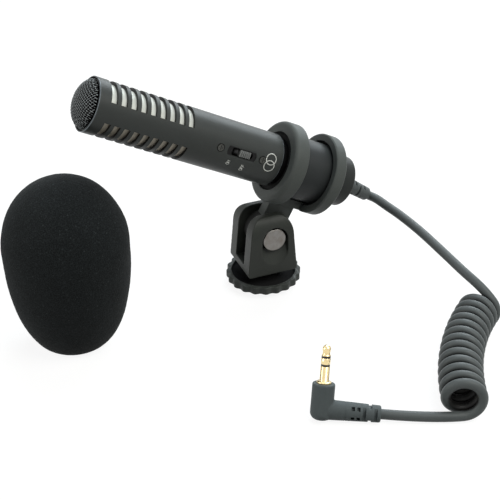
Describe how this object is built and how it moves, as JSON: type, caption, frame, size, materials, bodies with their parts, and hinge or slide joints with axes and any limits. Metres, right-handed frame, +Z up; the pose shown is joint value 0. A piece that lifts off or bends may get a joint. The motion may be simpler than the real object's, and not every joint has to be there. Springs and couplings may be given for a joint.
{
  "type": "on camera microphone",
  "caption": "Stereo microphone in a tilting ring cradle on an accessory shoe foot, with a curly cord, an angled mini plug and a foam windscreen.",
  "frame": {"origin": "centre of the underside of the shoe foot, on the surface that everything stands on", "axes": "+Z up, the microphone's front towards -Y, the tilt axis along X"},
  "size_m": [0.1362, 0.1876, 0.1077],
  "materials": {
    "barrel_paint": "satin charcoal",
    "cradle_plastic": "matte dark grey",
    "clevis_plastic": "matte near black",
    "isolator_rubber": "matte black",
    "cord_jacket": "satin dark grey",
    "plug_moulding": "matte slate grey",
    "windscreen_foam": "open-cell foam",
    "bolt_steel": "plated steel",
    "screw_steel": "plated steel",
    "sleeve_metal": "satin",
    "mesh_wire": "dark plated wire",
    "pin_gold": "gold plated",
    "pin_insulator": "black",
    "board_laminate": "green laminate",
    "switch_nylon": "matte black",
    "capsule_metal": "satin",
    "holder_rubber": "matte black",
    "cell_steel": "satin steel",
    "washer_nylon": "natural nylon"
  },
  "bodies": {
    "mount": {"shoe_foot": "clevis_plastic", "shoe_stud": "bolt_steel", "yoke": "clevis_plastic", "pivot_bolt": "bolt_steel", "pivot_nut": "bolt_steel", "friction_washer_near": "washer_nylon", "friction_washer_far": "washer_nylon", "cord_lead": "cord_jacket", "cord_coil": "cord_jacket", "cord_tail": "cord_jacket", "plug_housing": "plug_moulding", "plug_sleeve": "pin_gold", "plug_insulator_rear": "pin_insulator", "plug_ring": "pin_gold", "plug_insulator_front": "pin_insulator", "plug_tip": "pin_gold", "windscreen": "windscreen_foam"},
    "microphone": {"cradle_frame": "cradle_plastic", "front_isolator": "isolator_rubber", "rear_isolator": "isolator_rubber", "barrel_tube": "barrel_paint", "rear_body": "cradle_plastic", "end_cap": "cradle_plastic", "cord_gland": "cord_jacket", "front_grille": "mesh_wire", "grille_ring": "mesh_wire", "acoustic_sleeve": "sleeve_metal", "left_capsule": "capsule_metal", "right_capsule": "capsule_metal", "capsule_holder": "holder_rubber", "circuit_board": "board_laminate", "slide_switch": "switch_nylon", "screw_front": "screw_steel", "screw_rear": "screw_steel", "battery_cell": "cell_steel", "battery_holder": "holder_rubber", "battery_spring": "cell_steel"},
    "slider": {"switch_slider": "switch_nylon"},
    "clamp": {"pressure_plate": "washer_nylon"},
    "wheel": {"lock_wheel": "clevis_plastic"}
  },
  "joints": [
    {"name": "mic_tilt", "type": "hinge", "parent": "mount", "child": "microphone", "pos_m": [0, 0.0012, 0.02565], "axis": [-1, 0, 0], "range_deg": [-9, 32], "deforming": ["cord_lead"]},
    {"name": "power_switch", "type": "slide", "parent": "microphone", "child": "slider", "axis": [0, -0.8878, 0.4602], "range_m": [0, 0.0025]},
    {"name": "clamp_travel", "type": "slide", "parent": "mount", "child": "clamp", "axis": [0, 0, 1], "range_m": [0, 0.003]},
    {"name": "wheel_turn", "type": "hinge", "parent": "clamp", "child": "wheel", "pos_m": [0, 0, 0.0041], "axis": [0, 0, 1], "range_deg": [0, 720]}
  ],
  "couplings": [
    {"joint": "wheel_turn", "follows": "clamp_travel", "rad_per_m": 4188.8}
  ]
}
